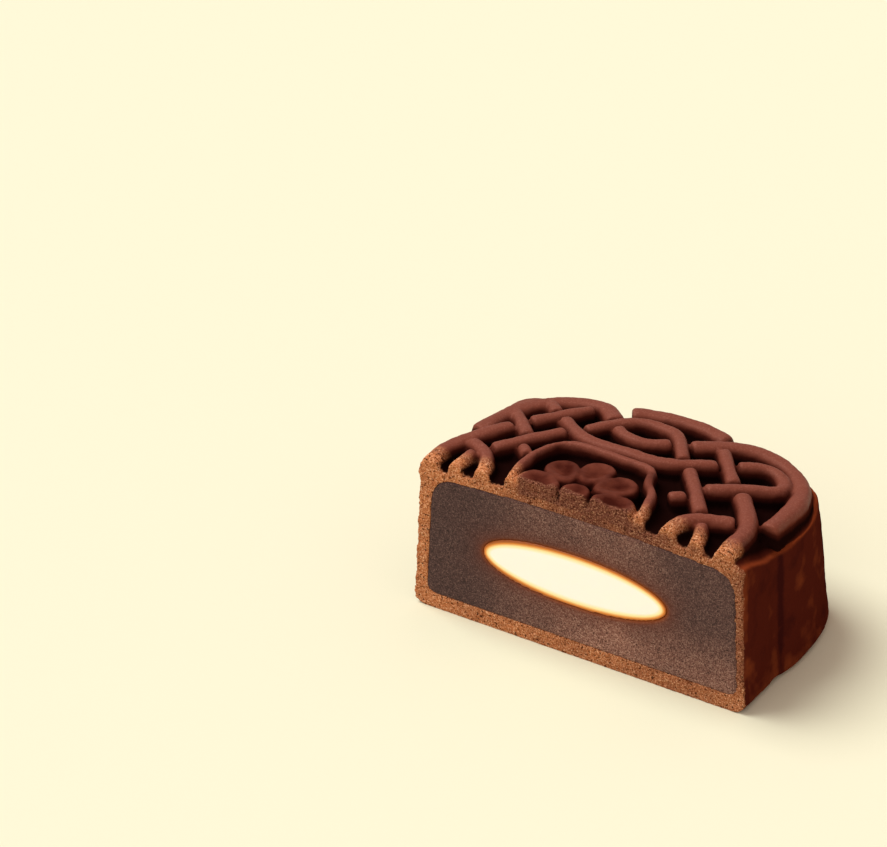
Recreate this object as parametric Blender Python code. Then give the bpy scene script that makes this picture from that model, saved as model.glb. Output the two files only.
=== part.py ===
"""Half of a moulded custard mooncake, lying on its base with the cut face upright.

Three solids: the cocoa crust with its interlaced relief, the bean-paste filling inside it and
the custard core inside the filling. All three reach the cut face. Lengths below are millimetres;
x runs along the cut, y runs back from the cut face and z runs up from the base.
"""

import math

import bmesh
import bpy
from mathutils import Vector

MM = 0.001

# The cake's outer form
WIDTH = 61.2  # across the corner lobes, at the base
DEPTH = 37.0  # from the cut face to the back, at the base
MIDDLE_X = 0.77  # middle of the whole width, which the skew moves away from the cut's middle
SQUARENESS = 5.4  # exponent of the rounded-square outline at the base
TOP_SQUARENESS = 4.2  # the same at the ledge, where the corners are rounder
WALL_TOP = 25.6  # height at the cut where the side wall turns into the ledge round the relief
SAG = 2.7  # how much lower the ledge lies behind the cut
SAG_REACH = 11.0
LEDGE_RISE = 0.6
BASE_ROUNDING = 1.8
DRAFT = 1.5  # how far the wall leans in between base and ledge
MIDDLE_LOBE_INSET = 0.6  # how far the middle lobe of each side stands behind the corner lobes
NOTCH_DEPTH = 0.9  # of the grooves between the lobes
NOTCH_REACH = 4.5  # how far along the side a groove's flanks run
SIDE_NOTCH_Y = 11.8
BACK_NOTCH_X = 9.6
LOBE_STEPS = (8, 16, 8)  # stretches in a side's middle lobe, a corner lobe and the back's middle lobe
LEAN = -0.3  # sideways lean of the top over the base
SKEW = 0.06  # sideways drift of the whole cake for each millimetre of depth
ROUNDING_STEPS = (0.0, 0.35, 0.7, 1.0)  # shares of the quarter turn at a rounded bottom edge
DOME_RINGS = (0.9, 0.6, 0.3, 0.05)  # shares of the ledge's outline where the floor's rings lie

# The relief: a domed floor with strands standing on it under a second, higher dome
FLOOR_TOP = 27.6
FLOOR_DROP = 2.6  # fall of the floor at DOME_RADIUS from the middle
STRAND_TOP = 30.6
STRAND_DROP = 2.3
DOME_RADIUS = 30.0
RELIEF_X = -1.1  # middle line of the relief
OUTER_STRANDS = 16.0  # strands further out than this lean with the wall
STRAND_LEAN = 0.08  # lean of the outermost ones for each millimetre of depth
STRAND_LEAN_DEPTH = 22.0  # depth where their lean stops growing
ROOT = 0.8  # how deep a strand is set into the floor
LONGEST_STEP = 3.5  # between two sections of a strand
SHORTEST_STEP = 0.9
END_ROUNDING = 0.45
END_SIZE = 0.82  # size of a strand's last section against the others

# Section of a strand: (share of the width, share of the height)
STRAND_SECTION = (
    (-0.62, 0.0),
    (-0.5, 0.62),
    (-0.33, 0.92),
    (0.0, 1.0),
    (0.33, 0.92),
    (0.5, 0.62),
    (0.62, 0.0),
)

# Strands that come in pairs, left and right of the middle line: (width, plan points)
PAIRED_STRANDS = {
    "side_loop": (2.6, ((16.2, -4.0), (16.3, 1.6), (18.0, 4.6), (21.0, 6.6), (24.2, 8.2))),
    "side_leaf": (2.3, ((21.6, -4.0), (21.4, 0.6), (20.0, 5.0))),
    "near_bar": (2.7, ((18.9, 6.3), (11.3, 17.4))),
    "far_bar": (2.7, ((18.6, 17.8), (11.5, 28.4))),
    "corner_hook": (
        2.7,
        ((15.8, 13.5), (21.4, 19.2), (24.3, 21.6), (23.5, 25.2), (19.8, 27.2), (16.8, 24.4)),
    ),
    "corner_stub": (2.4, ((12.6, 7.8), (14.7, 9.8))),
}

# Strands that cross the middle line; only the right half of each is listed
CENTRE_STRANDS = {
    "octagon": (2.7, ((14.0, 22.1), (8.6, 17.5), (5.2, 16.3), (0.0, 16.2))),
    "back_loop": (2.6, ((9.0, 19.6), (6.8, 23.4), (4.0, 27.6), (0.0, 28.4))),
    "back_leaf": (2.5, ((4.9, 23.4), (2.4, 21.4), (0.0, 20.9))),
}

# Uneven strands, each listed whole: the rims, which the skew moves, and the frame round the plaque
SINGLE_STRANDS = {
    "side_rim_right": (3.2, ((25.8, -4.0), (25.9, 1.0), (26.6, 6.4), (24.8, 11.0), (21.0, 16.2))),
    "side_rim_left": (3.2, ((-26.3, -4.0), (-26.0, 1.0), (-25.0, 5.8), (-22.8, 10.0), (-20.0, 15.2))),
    "plaque_frame": (
        1.7,
        (
            (11.9, -4.0),
            (10.9, 6.6),
            (8.3, 8.6),
            (7.3, 12.8),
            (5.6, 13.6),
            (0.0, 13.7),
            (-6.6, 14.2),
            (-9.4, 12.8),
            (-10.6, 10.2),
            (-11.4, 6.4),
            (-11.2, -4.0),
        ),
    ),
    "corner_rim_right": (
        3.4,
        ((28.5, 10.2), (28.9, 19.2), (27.2, 26.0), (21.6, 30.9), (14.4, 31.4), (8.0, 25.4)),
    ),
    "corner_rim_left": (
        3.6,
        ((-24.0, 10.4), (-23.6, 17.5), (-21.5, 24.9), (-16.4, 29.7), (-10.4, 30.5), (-6.4, 25.8)),
    ),
    "back_rim": (3.6, ((-6.0, 30.5), (-3.0, 32.2), (2.6, 33.0), (7.0, 32.8), (10.8, 31.1))),
}

# Blossom in the plaque: petals round a boss, its centre just behind the cut
BLOSSOM_Y = 0.9
BOSS_RADIUS = 2.5
PETALS = 8
PETAL_LENGTH = 7.8
PETAL_WIDTH = 5.7
PETAL_START = 2.6
PETAL_POINTS = 14
PETAL_TAPER = 0.25  # how much wider a petal is towards its tip
PETAL_LEVELS = ((1.0, 0.0), (0.97, 0.6), (0.72, 0.93), (0.25, 1.0))  # (share of outline, of height)
BOSS_LEVELS = ((1.0, 0.0), (0.96, 0.7), (0.6, 0.95), (0.2, 1.0))
BLOSSOM_SINK = 0.5  # how far the blossom's crown stays below the strands

# Filling and custard
SIDE_CRUST = 2.65
BACK_CRUST = 3.0
BASE_CRUST = 2.9
FILLING_DRAFT = 1.0
FILLING_TOP = 25.5
FILLING_DROP = 1.4
FILLING_SHIFT = 0.5
FILLING_EDGE = 1.5  # rounding of the filling's bottom edge
FILLING_SHOULDER = 20.6  # height where the filling's wall starts to round over
FILLING_CROWN = (  # rings above the shoulder: (share of the outline, share of the rise)
    (0.985, 0.45),
    (0.95, 0.8),
    (0.88, 1.0),
    (0.6, 1.0),
    (0.3, 1.0),
    (0.05, 1.0),
)
CUSTARD_HALF_WIDTH = 16.4
CUSTARD_DEPTH = 15.5
CUSTARD_HEIGHT = 9.4
CUSTARD_CENTRE = (-0.5, 14.1)
CUSTARD_STEEPEST = 84.0  # degrees of the last ring above and below the custard's middle
CUSTARD_BLUNTNESS = 0.8  # exponent that fills out the custard's left end
CUSTARD_RINGS = 11
CUSTARD_POINTS = 40
GAP = 0.3  # clearance between neighbouring solids


def place(x, y, z):
    """Turns a point in millimetres from the cut face into metres about the middle of the base."""
    return Vector(((x - MIDDLE_X) * MM, (y - DEPTH / 2) * MM, z * MM))


def dome(top, drop, x, y):
    """Height of a dome that falls by drop at DOME_RADIUS from the relief's middle."""
    return top - drop * ((x - RELIEF_X) ** 2 + y**2) / DOME_RADIUS**2


def floor_height(x, y):
    return dome(FLOOR_TOP, FLOOR_DROP, x, y)


def strand_height(x, y):
    return dome(STRAND_TOP, STRAND_DROP, x, y)


def settle(x, y, z):
    """Leans a point of the wall over, and lowers it where the wall sags behind the cut."""
    share = min(abs(y) / SAG_REACH, 1.0)
    sag = SAG * share * share * (3.0 - 2.0 * share) * min(z / WALL_TOP, 1.0)
    return x + LEAN * z / WALL_TOP + SKEW * y, y, z - sag


def notch(along, centre):
    """Inward dip of the outline near a groove, a cusp at the groove itself."""
    reach = max(0.0, 1.0 - abs(along - centre) / NOTCH_REACH)
    return NOTCH_DEPTH * reach**2


def other_share(share):
    """The second coordinate of a unit rounded square whose first one is given."""
    return (1.0 - share**SQUARENESS) ** (1.0 / SQUARENESS)


def outline_angles():
    """Directions of the outline's points, with one exactly at each groove."""
    side_share, back_share = SIDE_NOTCH_Y / DEPTH, BACK_NOTCH_X / (WIDTH / 2)
    side = math.atan2(side_share, other_share(side_share))
    back = math.atan2(other_share(back_share), back_share)
    grooves = [-side, side, back, math.pi - back, math.pi - side]
    grooves += [angle + math.pi for angle in grooves[1:]]
    steps = [LOBE_STEPS[k] for k in (0, 1, 2, 1, 0, 1, 2, 1)]
    angles = []
    for start, end, count in zip(grooves, grooves[1:], steps):
        angles += [start + (end - start) * k / count for k in range(count)]
    return angles


def unit_reach(cosine, sine, squareness):
    """Distance from the middle of a unit rounded square to its edge in one direction."""
    return (abs(cosine) ** squareness + abs(sine) ** squareness) ** (-1 / squareness)


def outline(inset, z, lobes=True):
    """Ring of plan points at one height: a rounded square with grooves between its lobes."""
    squareness = SQUARENESS + (TOP_SQUARENESS - SQUARENESS) * min(z / WALL_TOP, 1.0)
    ring = []
    for angle in outline_angles():
        cosine, sine = math.cos(angle), math.sin(angle)
        at_base = unit_reach(cosine, sine, SQUARENESS)
        if abs(cosine) > abs(sine):
            along, groove = at_base * abs(sine) * DEPTH, SIDE_NOTCH_Y
        else:
            along, groove = at_base * abs(cosine) * WIDTH / 2, BACK_NOTCH_X
        dip = inset
        if lobes:
            dip += notch(along, groove)
            dip += MIDDLE_LOBE_INSET if along < groove else 0.0
        reach = unit_reach(cosine, sine, squareness)
        x, y = reach * cosine * WIDTH / 2, reach * sine * DEPTH
        length = math.hypot(x, y)
        shrink = (length - dip) / length
        ring.append(settle(x * shrink, y * shrink, z))
    return ring


def bridge(bm, lower, upper):
    """Joins two rings of equal length with quads."""
    for i in range(len(lower)):
        j = (i + 1) % len(lower)
        bm.faces.new((lower[i], lower[j], upper[j], upper[i]))


def loft(rings):
    """Closed mesh through a list of rings, capped at both ends."""
    bm = bmesh.new()
    levels = [[bm.verts.new(place(*point)) for point in ring] for ring in rings]
    for lower, upper in zip(levels, levels[1:]):
        bridge(bm, lower, upper)
    bm.faces.new(list(reversed(levels[0])))
    bm.faces.new(levels[-1])
    bmesh.ops.recalc_face_normals(bm, faces=bm.faces)
    return bm


def add_object(name, bm, collection):
    mesh = bpy.data.meshes.new(name)
    bm.to_mesh(mesh)
    bm.free()
    obj = bpy.data.objects.new(name, mesh)
    collection.objects.link(obj)
    return obj


def as_tool(obj):
    """Marks an object as a construction aid that isn't part of the cake."""
    obj.hide_render = True
    obj.display_type = "WIRE"
    return obj


def material(name, colour, roughness):
    mat = bpy.data.materials.new(name)
    mat.use_nodes = True
    shader = mat.node_tree.nodes["Principled BSDF"]
    shader.inputs["Base Color"].default_value = (*colour, 1.0)
    shader.inputs["Roughness"].default_value = roughness
    shader.inputs["Metallic"].default_value = 0.0
    return mat


def rounded_edge(radius):
    """Steps up a rounded bottom edge: (how far in from the wall, how far up from the bottom)."""
    turns = [share * math.pi / 2 for share in ROUNDING_STEPS]
    return [(radius * (1 - math.sin(turn)), radius * (1 - math.cos(turn))) for turn in turns]


def crust_body(collection):
    """The whole cake without its relief, up to the domed floor of the relief."""
    rings = [outline(inset, rise) for inset, rise in rounded_edge(BASE_ROUNDING)]
    rings.append(outline(DRAFT / 2, WALL_TOP / 2))
    rings.append(outline(DRAFT, WALL_TOP))
    ledge = outline(DRAFT + LEDGE_RISE, WALL_TOP + LEDGE_RISE)
    rings.append(ledge)
    for share in DOME_RINGS:
        rings.append([(x * share, y * share, floor_height(x * share, y * share)) for x, y, _ in ledge])
    return add_object("crust", loft(rings), collection)


def round_corners(points, cuts=2):
    """Plan path with its corners cut twice, which leaves straight runs straight."""
    for _ in range(cuts):
        smooth = [points[0]]
        for (ax, ay), (bx, by) in zip(points, points[1:]):
            smooth.append((ax * 0.75 + bx * 0.25, ay * 0.75 + by * 0.25))
            smooth.append((ax * 0.25 + bx * 0.75, ay * 0.25 + by * 0.75))
        smooth.append(points[-1])
        points = smooth
    return points


def even_steps(points):
    """Path with no stretch shorter or longer than the strand sections allow."""
    kept = [points[0]]
    for point in points[1:-1]:
        if min(math.dist(point, kept[-1]), math.dist(point, points[-1])) > SHORTEST_STEP:
            kept.append(point)
    kept.append(points[-1])
    path = [kept[0]]
    for (ax, ay), (bx, by) in zip(kept, kept[1:]):
        parts = max(1, math.ceil(math.hypot(bx - ax, by - ay) / LONGEST_STEP))
        path += [(ax + (bx - ax) * k / parts, ay + (by - ay) * k / parts) for k in range(1, parts + 1)]
    return path


def strand(name, width, points, collection, corner_cuts=2):
    """A bar with a rounded top that follows a plan path over the floor of the relief."""
    path = even_steps(round_corners(points, corner_cuts))
    sections = []
    for i, (x, y) in enumerate(path):
        ahead, behind = path[min(i + 1, len(path) - 1)], path[max(i - 1, 0)]
        along = Vector((ahead[0] - behind[0], ahead[1] - behind[1])).normalized()
        sections.append((Vector((x, y)), along, 1.0))
    first, last = sections[0], sections[-1]
    sections[0] = (first[0] + first[1] * END_ROUNDING, first[1], 1.0)
    sections[-1] = (last[0] - last[1] * END_ROUNDING, last[1], 1.0)
    sections.insert(0, (first[0], first[1], END_SIZE))
    sections.append((last[0], last[1], END_SIZE))
    rings = []
    for centre, along, size in sections:
        across = Vector((-along.y, along.x))
        ring = []
        for side, rise in STRAND_SECTION:
            x, y = centre + across * (side * width * size)
            bottom = floor_height(x, y) - ROOT
            top = strand_height(centre.x, centre.y) - (1.0 - size) * width
            ring.append((x, y, bottom + rise * (top - bottom)))
        rings.append(ring)
    return as_tool(add_object(name, loft(rings), collection))


def mirrored(points, side):
    """Plan points on one side of the relief's middle line."""
    return [(RELIEF_X + side * x + edge_lean(x, y), y) for x, y in points]


def edge_lean(x, y):
    """Extra sideways shift of the outer strands, which lean with the wall behind them."""
    share = max(0.0, (abs(x) - OUTER_STRANDS) / (WIDTH / 2 - OUTER_STRANDS))
    return share * STRAND_LEAN * min(max(y, 0.0), STRAND_LEAN_DEPTH)


def petal(angle, collection):
    """A raised petal of the blossom, pointed at both ends and domed between them."""
    direction = Vector((math.cos(angle), math.sin(angle)))
    across = Vector((-direction.y, direction.x))
    rings = []
    for size, rise in PETAL_LEVELS:
        ring = []
        for step in range(PETAL_POINTS):
            turn = math.tau * step / PETAL_POINTS
            out = PETAL_START + PETAL_LENGTH * (0.5 + 0.5 * size * math.cos(turn))
            wide = 0.5 * PETAL_WIDTH * size * math.sin(turn) * (1.0 + PETAL_TAPER * math.cos(turn))
            spot = direction * out + across * wide
            x, y = RELIEF_X + spot.x, BLOSSOM_Y + spot.y
            bottom = floor_height(x, y) - ROOT
            top = strand_height(x, y) - BLOSSOM_SINK
            ring.append((x, y, bottom + rise * (top - bottom)))
        rings.append(ring)
    return as_tool(add_object("petal", loft(rings), collection))


def boss(collection):
    """The round middle of the blossom."""
    rings = []
    for size, rise in BOSS_LEVELS:
        ring = []
        for step in range(PETAL_POINTS):
            turn = math.tau * step / PETAL_POINTS
            x = RELIEF_X + BOSS_RADIUS * size * math.cos(turn)
            y = BLOSSOM_Y + BOSS_RADIUS * size * math.sin(turn)
            bottom = floor_height(x, y) - ROOT
            top = strand_height(x, y) - BLOSSOM_SINK
            ring.append((x, y, bottom + rise * (top - bottom)))
        rings.append(ring)
    return as_tool(add_object("boss", loft(rings), collection))


def build_relief(collection):
    """All raised strands and the blossom, as construction aids that the crust is joined with."""
    for name, (width, points) in PAIRED_STRANDS.items():
        for side in (-1, 1):
            strand(name, width, mirrored(points, side), collection)
    for name, (width, points) in CENTRE_STRANDS.items():
        right = mirrored(points, 1)
        left = mirrored(points[:-1], -1)
        strand(name, width, left + right[::-1], collection, corner_cuts=1)
    for name, (width, points) in SINGLE_STRANDS.items():
        strand(name, width, [(RELIEF_X + x, y) for x, y in points], collection)
    boss(collection)
    for step in range(PETALS // 2 + 1):
        petal(math.tau * step / PETALS, collection)


def filling_rings(grow):
    """Rings of the filling, made larger all round by grow for the hollow that holds it."""
    side, bottom = SIDE_CRUST - grow, BASE_CRUST - grow
    rings = [filling_ring(side + inset, bottom + rise) for inset, rise in rounded_edge(FILLING_EDGE)]
    shoulder = filling_ring(side + FILLING_DRAFT, FILLING_SHOULDER)
    rings.append(shoulder)
    for share, rise in FILLING_CROWN:
        ring = []
        for x, y, z in shoulder:
            top = dome(FILLING_TOP + grow, FILLING_DROP, x * share, y * share)
            ring.append((x * share, y * share, z + (top - z) * rise))
        rings.append(ring)
    return rings


def filling_ring(inset, z):
    """Outline of the filling at one height: smooth, and moved towards the thin side of the crust."""
    depth_share = (DEPTH - inset - BACK_CRUST + SIDE_CRUST) / (DEPTH - inset)
    return [(x + FILLING_SHIFT, y * depth_share, z) for x, y, z in outline(inset, z, lobes=False)]


def custard_rings(grow):
    """Rings of the custard core, a flattened ball that is blunter on the left than on the right."""
    rings = []
    for level in range(CUSTARD_RINGS):
        tilt = math.radians(CUSTARD_STEEPEST) * (2 * level / (CUSTARD_RINGS - 1) - 1)
        ring = []
        for step in range(CUSTARD_POINTS):
            turn = math.tau * step / CUSTARD_POINTS
            side = math.cos(tilt) ** (CUSTARD_BLUNTNESS if math.cos(turn) < 0 else 1.0)
            x = CUSTARD_CENTRE[0] + (CUSTARD_HALF_WIDTH + grow) * side * math.cos(turn)
            y = (CUSTARD_DEPTH + grow) * side * math.sin(turn)
            z = CUSTARD_CENTRE[1] + (CUSTARD_HEIGHT / 2 + grow) * math.sin(tilt)
            ring.append((x, y, z))
        rings.append(ring)
    return rings


def boolean(obj, operation, tool=None, tools=None):
    """Exact Boolean with one object or with all the objects of a collection."""
    mod = obj.modifiers.new(operation.title(), "BOOLEAN")
    mod.operation = operation
    mod.solver = "EXACT"
    if tools is not None:
        mod.operand_type = "COLLECTION"
        mod.collection = tools
    else:
        mod.object = tool


def cutting_block(collection):
    """Block in front of the cut face, taken away from every solid."""
    reach = WIDTH
    bm = bmesh.new()
    bmesh.ops.create_cube(bm, size=1.0)
    for vert in bm.verts:
        x = 2 * reach * vert.co.x
        y = -reach if vert.co.y < 0 else 0.0
        vert.co = place(x, y, 2 * reach * vert.co.z)
    return as_tool(add_object("knife_block", bm, collection))


def main():
    for obj in list(bpy.data.objects):
        bpy.data.objects.remove(obj)
    scene = bpy.context.scene.collection
    relief = bpy.data.collections.new("relief")
    scene.children.link(relief)

    build_relief(relief)
    block = cutting_block(scene)
    filling_hollow = as_tool(add_object("filling_hollow", loft(filling_rings(GAP)), scene))
    custard_hollow = as_tool(add_object("custard_hollow", loft(custard_rings(GAP)), scene))

    crust = crust_body(scene)
    boolean(crust, "UNION", tools=relief)
    boolean(crust, "DIFFERENCE", tool=filling_hollow)
    boolean(crust, "DIFFERENCE", tool=block)
    crust.data.materials.append(material("cocoa_crust", (0.20, 0.065, 0.035), 0.55))

    filling = add_object("filling", loft(filling_rings(0.0)), scene)
    boolean(filling, "DIFFERENCE", tool=custard_hollow)
    boolean(filling, "DIFFERENCE", tool=block)
    filling.data.materials.append(material("bean_paste", (0.09, 0.052, 0.046), 0.6))

    custard = add_object("custard", loft(custard_rings(0.0)), scene)
    boolean(custard, "DIFFERENCE", tool=block)
    custard.data.materials.append(material("egg_custard", (0.98, 0.93, 0.66), 0.45))


main()
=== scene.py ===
import logging
import math
from dataclasses import dataclass
from enum import Enum
from functools import partial
from typing import Callable, Iterable, Sequence

import bmesh
import bpy
import numpy as np
from mathutils import Euler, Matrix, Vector, noise


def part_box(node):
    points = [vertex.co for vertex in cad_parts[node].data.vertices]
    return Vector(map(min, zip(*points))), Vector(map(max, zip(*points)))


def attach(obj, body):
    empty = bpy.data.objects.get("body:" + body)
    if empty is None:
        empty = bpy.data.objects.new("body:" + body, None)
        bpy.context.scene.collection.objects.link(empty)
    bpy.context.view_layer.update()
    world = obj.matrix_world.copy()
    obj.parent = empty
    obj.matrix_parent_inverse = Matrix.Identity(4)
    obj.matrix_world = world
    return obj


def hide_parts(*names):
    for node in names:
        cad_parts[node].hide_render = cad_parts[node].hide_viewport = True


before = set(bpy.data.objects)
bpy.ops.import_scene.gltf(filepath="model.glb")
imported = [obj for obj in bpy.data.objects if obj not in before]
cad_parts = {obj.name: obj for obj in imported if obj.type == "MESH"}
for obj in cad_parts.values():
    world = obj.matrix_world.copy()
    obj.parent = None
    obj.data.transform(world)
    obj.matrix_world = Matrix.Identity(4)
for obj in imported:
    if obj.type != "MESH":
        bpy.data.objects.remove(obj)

LOG = logging.getLogger("mooncake")
MM = 0.001
CUT_THRESHOLD = 1e-7
NO_ZERO = 1e-6

Point = tuple[float, float]
Place = tuple[float, float, float]
Ring = list[Vector]
Span = tuple[float, float]
Value = float | np.ndarray
Colour = tuple[float, float, float, float]
# Colour band: positions from 0 to 1, each with its sRGB colour.
Band = tuple[tuple[float, str], ...]
# Noise pattern: width of its lumps in millimetres, detail and roughness.
Pattern = tuple[float, float, float]
Sections = list[tuple[np.ndarray, np.ndarray, float]]


class Node(Enum):
    """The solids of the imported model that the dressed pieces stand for."""

    CRUST = "crust"
    FILLING = "filling"
    CUSTARD = "custard"


class Slot(Enum):
    """The record's material slots."""

    CRUST = "cocoa_crust"
    FILLING = "bean_paste"
    CUSTARD = "egg_custard"


class Mark(Enum):
    """Values that a piece carries at its points for its finish to read."""

    RELIEF = "relief"  # height between the relief's floor, 0, and the strands' tops, 1
    WALL = "wall"  # 1 on the egg-washed wall
    LEDGE_HIGHLIGHT = "ledge"  # 1 on the ledge's rounded edge, which gets a painted highlight
    CRUMB = "crumb"  # 1 where the knife has opened the crust
    TONE = "toast"  # how dark or warm it is coloured; on the crust's wall it holds painted bounce light, a painted highlight and painted shade
    HALO = "halo"  # 1 where custard and paste meet


# ---------------------------------------------------------------------------------------------
# Modelling by hand: small wrappers round Blender's own tools
# ---------------------------------------------------------------------------------------------


def pick(*pieces: bpy.types.Object) -> None:
    """Makes the given pieces the only selected ones, the first of them active.

    Args:
        pieces: one or more pieces.
    """
    bpy.ops.object.select_all(action="DESELECT")
    for piece in pieces:
        piece.select_set(True)
    bpy.context.view_layer.objects.active = pieces[0]


def sweep(name: str, rings: Sequence[Ring]) -> bpy.types.Object:
    """Extrudes a face from ring to ring, which gives a closed body.

    Args:
        name: the piece's name.
        rings: outlines of equal length, from one end of the body to the other.

    Returns:
        The closed body, with its faces pointing out.
    """
    bpy.ops.object.select_all(action="DESELECT")
    bpy.ops.mesh.primitive_circle_add(vertices=len(rings[0]), fill_type="NGON")
    piece = bpy.context.object
    piece.name = piece.data.name = name
    bpy.ops.object.mode_set(mode="EDIT")
    mesh = bmesh.from_edit_mesh(piece.data)
    place = mesh.verts.layers.int.new("place")
    for number, vert in enumerate(mesh.verts):
        vert[place] = number
        vert.co = rings[0][number]
    for ring in rings[1:]:
        bpy.ops.mesh.extrude_region_move()
        mesh = bmesh.from_edit_mesh(piece.data)
        place = mesh.verts.layers.int["place"]
        for vert in mesh.verts:
            if vert.select:
                vert.co = ring[vert[place]]
    bmesh.update_edit_mesh(piece.data)
    bpy.ops.mesh.select_all(action="SELECT")
    bpy.ops.mesh.normals_make_consistent(inside=False)
    bpy.ops.object.mode_set(mode="OBJECT")
    return piece


def modify(piece: bpy.types.Object, kind: str, **settings: object) -> None:
    """Adds a modifier with its settings and applies it.

    Args:
        piece: the piece it changes.
        kind: the modifier's type.
        settings: its properties.
    """
    pick(piece)
    bpy.ops.object.modifier_add(type=kind)
    modifier = piece.modifiers[-1]
    for key, value in settings.items():
        setattr(modifier, key, value)
    bpy.ops.object.modifier_apply(modifier=modifier.name)


def carve(piece: bpy.types.Object, tool: bpy.types.Object) -> None:
    """Takes the tool's body out of a piece and throws the tool away."""
    modify(piece, "BOOLEAN", operation="DIFFERENCE", solver="EXACT", object=tool)
    bpy.data.objects.remove(tool)


def slice_off(piece: bpy.types.Object, y: float) -> None:
    """Cuts a closed body at a plane across Y, keeps what lies behind it and closes the cut.

    Args:
        piece: the body.
        y: the plane's place, in metres.
    """
    pick(piece)
    bpy.ops.object.mode_set(mode="EDIT")
    bpy.ops.mesh.select_all(action="SELECT")
    plane = {"plane_co": (0.0, y, 0.0), "plane_no": (0.0, -1.0, 0.0)}
    bpy.ops.mesh.bisect(**plane, use_fill=True, clear_outer=True, threshold=CUT_THRESHOLD)
    bpy.ops.mesh.select_all(action="SELECT")
    bpy.ops.mesh.normals_make_consistent(inside=False)
    bpy.ops.object.mode_set(mode="OBJECT")


def join(pieces: Sequence[bpy.types.Object]) -> bpy.types.Object:
    """Joins pieces into one.

    Args:
        pieces: the pieces.

    Returns:
        The first piece, which now holds them all.
    """
    pick(*pieces)
    bpy.ops.object.join()
    return pieces[0]


def read_points(piece: bpy.types.Object, key: str) -> np.ndarray:
    """Reads a vector at each of a piece's points.

    Args:
        piece: the piece.
        key: "co" for positions in metres or "normal" for directions.

    Returns:
        One row for each point.
    """
    flat = np.empty(len(piece.data.vertices) * 3)
    piece.data.vertices.foreach_get(key, flat)
    return flat.reshape(-1, 3)


def move_points(piece: bpy.types.Object, points: np.ndarray) -> None:
    """Puts a piece's points at new positions."""
    piece.data.vertices.foreach_set("co", points.astype(np.float32).ravel())
    piece.data.update()


def mark(piece: bpy.types.Object, name: Mark, values: np.ndarray) -> None:
    """Stores one value for each point of a piece."""
    layer = piece.data.attributes.new(name.value, "FLOAT", "POINT")
    layer.data.foreach_set("value", values.astype(np.float32))


def thin_out(piece: bpy.types.Object, chosen: np.ndarray, keep: float) -> None:
    """Collapses edges among chosen points until only a share of their faces is left.

    Args:
        piece: the mesh to thin.
        chosen: True for each point that may go.
        keep: share of the faces to keep.
    """
    pick(piece)
    bpy.ops.object.mode_set(mode="EDIT")
    bpy.ops.mesh.select_mode(type="VERT")
    bpy.ops.mesh.select_all(action="DESELECT")
    bpy.ops.object.mode_set(mode="OBJECT")
    piece.data.vertices.foreach_set("select", chosen)
    bpy.ops.object.mode_set(mode="EDIT")
    bpy.ops.mesh.decimate(ratio=keep)
    bpy.ops.object.mode_set(mode="OBJECT")


def smoothstep(low: float, high: float, values: np.ndarray) -> np.ndarray:
    """Rises smoothly from 0 at low to 1 at high."""
    share = np.clip((values - low) / (high - low), 0.0, 1.0)
    return share * share * (3.0 - 2.0 * share)


def bell(values: np.ndarray, middle: float, width: float) -> np.ndarray:
    """Smooth bump of height 1 round a middle value."""
    return np.exp(-(((values - middle) / width) ** 2))


@dataclass(frozen=True)
class Lumps:
    """Soft random lumps: how high and how wide they are, in millimetres, and a shift of the pattern."""

    height: float
    size: float
    seed: float

    def at(self, points: np.ndarray) -> np.ndarray:
        """The lumps' height at each point, whose positions are in metres."""
        scaled = points / (self.size * MM) + self.seed
        return self.height * np.array([noise.noise(Vector(row)) for row in scaled])


# ---------------------------------------------------------------------------------------------
# Form of the cake, in millimetres: x along the cut, y back from it, z up
# ---------------------------------------------------------------------------------------------


@dataclass(frozen=True)
class Spots:
    """A piece's points: positions in metres, and x, y and z in millimetres from the cut face."""

    points: np.ndarray
    x: np.ndarray
    y: np.ndarray
    z: np.ndarray


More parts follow.
